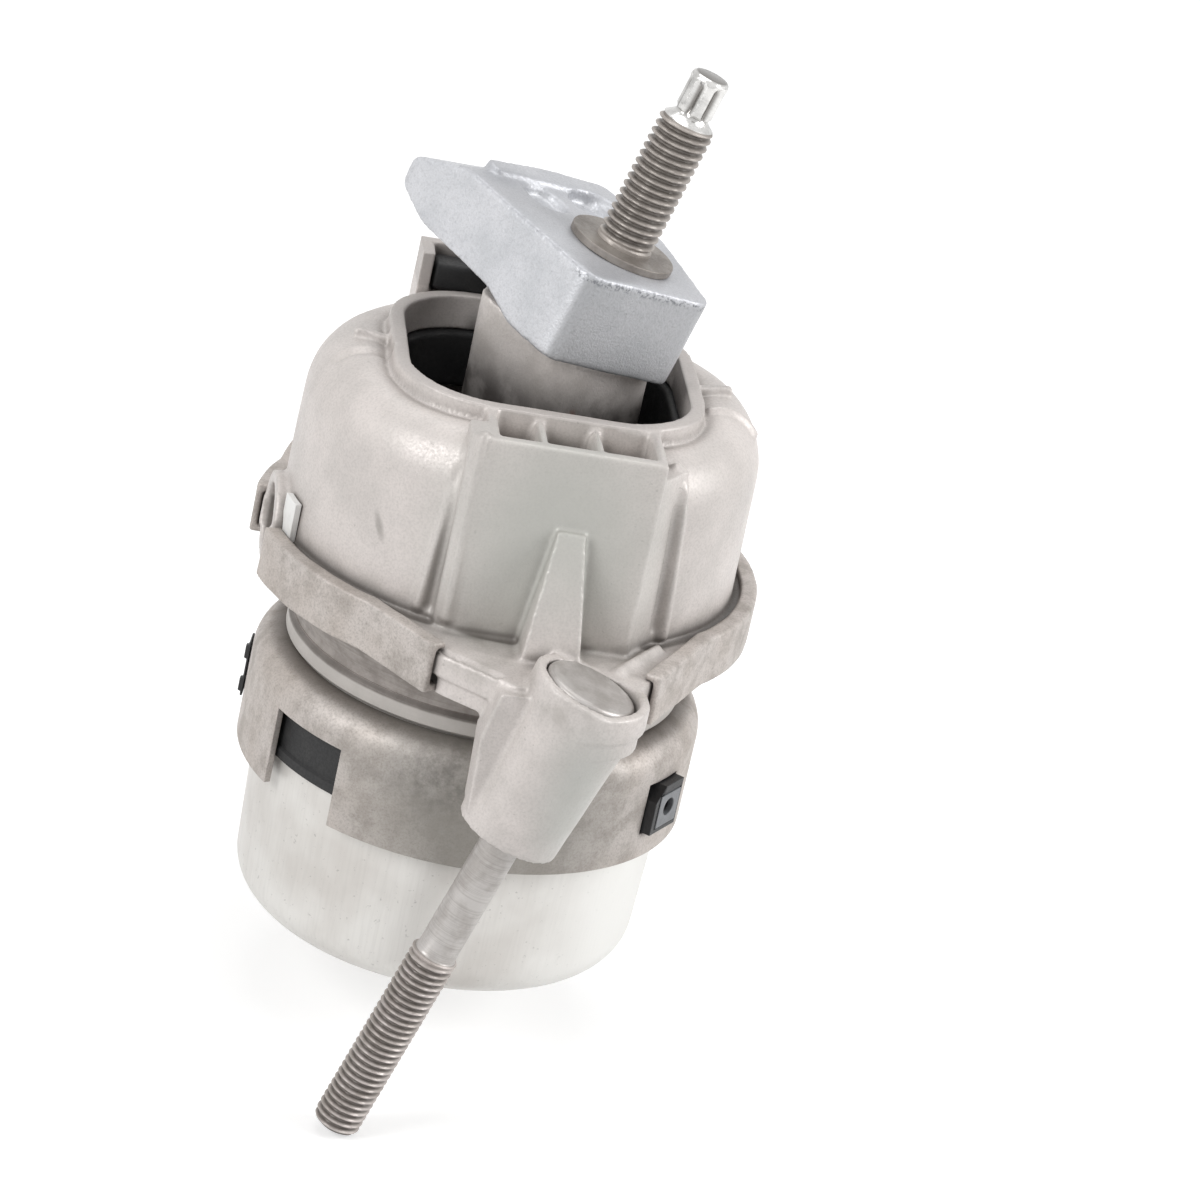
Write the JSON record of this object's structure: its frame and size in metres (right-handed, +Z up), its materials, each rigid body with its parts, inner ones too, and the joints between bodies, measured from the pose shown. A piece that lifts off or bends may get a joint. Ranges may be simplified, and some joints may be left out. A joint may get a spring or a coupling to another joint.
{
  "type": "transmission mount",
  "caption": "Fluid-filled rubber transmission mount: cast head with clamped flange over a drawn can, cast arm and threaded stud above, long through bolt at the side.",
  "frame": {"origin": "centre of the can's floor, on its outer face", "axes": "+Z up the can's axis towards the stud; the long bolt's boss stands on the -Y side"},
  "size_m": [0.1038, 0.1442, 0.2095],
  "materials": {
    "can_aluminium": "satin drawn sheet",
    "pressed_steel": "dull zinc plate with soft grey blotches",
    "cast_ring": "as cast",
    "core_casting": "as cast, sooty towards the foot",
    "cast_housing": "fine shot-blasted casting",
    "cast_arm": "bright blasted casting with sparkling edges",
    "fastener_steel": "dull grey plated steel",
    "washer_steel": "tan grey steel",
    "rubber_black": "matt black",
    "plastic_black": "matt black",
    "plastic_grey": "matt grey",
    "plastic_white": "clean white"
  },
  "bodies": {
    "mount_body": {"lower_can": "can_aluminium", "collar": "pressed_steel", "band_seal": "rubber_black", "base_ring": "cast_ring", "main_spring": "rubber_black", "upper_housing": "cast_housing", "channel_left_piece": "pressed_steel", "channel_rear_piece": "pressed_steel", "channel_right_piece": "pressed_steel", "flange_seal": "rubber_black", "snubber_ring": "rubber_black", "tower_buffer": "rubber_black", "long_bolt": "fastener_steel", "bolt_sleeve": "fastener_steel", "upper_track_plate": "cast_ring", "lower_track_plate": "cast_ring", "decoupler": "rubber_black", "diaphragm": "rubber_black", "diaphragm_ring": "fastener_steel", "fill_ball": "fastener_steel", "vacuum_port": "plastic_black", "port_face": "plastic_grey", "cable_clip": "plastic_black", "locating_tab": "plastic_white"},
    "core": {"core_column": "core_casting", "top_arm": "cast_arm", "stud": "fastener_steel", "stud_washer": "washer_steel"}
  },
  "joints": [
    {"name": "core_travel", "type": "slide", "parent": "mount_body", "child": "core", "axis": [0, 0, 1], "range_m": [-0.002, 0.003], "stiffness_N_per_m": 150000, "deforming": ["main_spring"]}
  ]
}
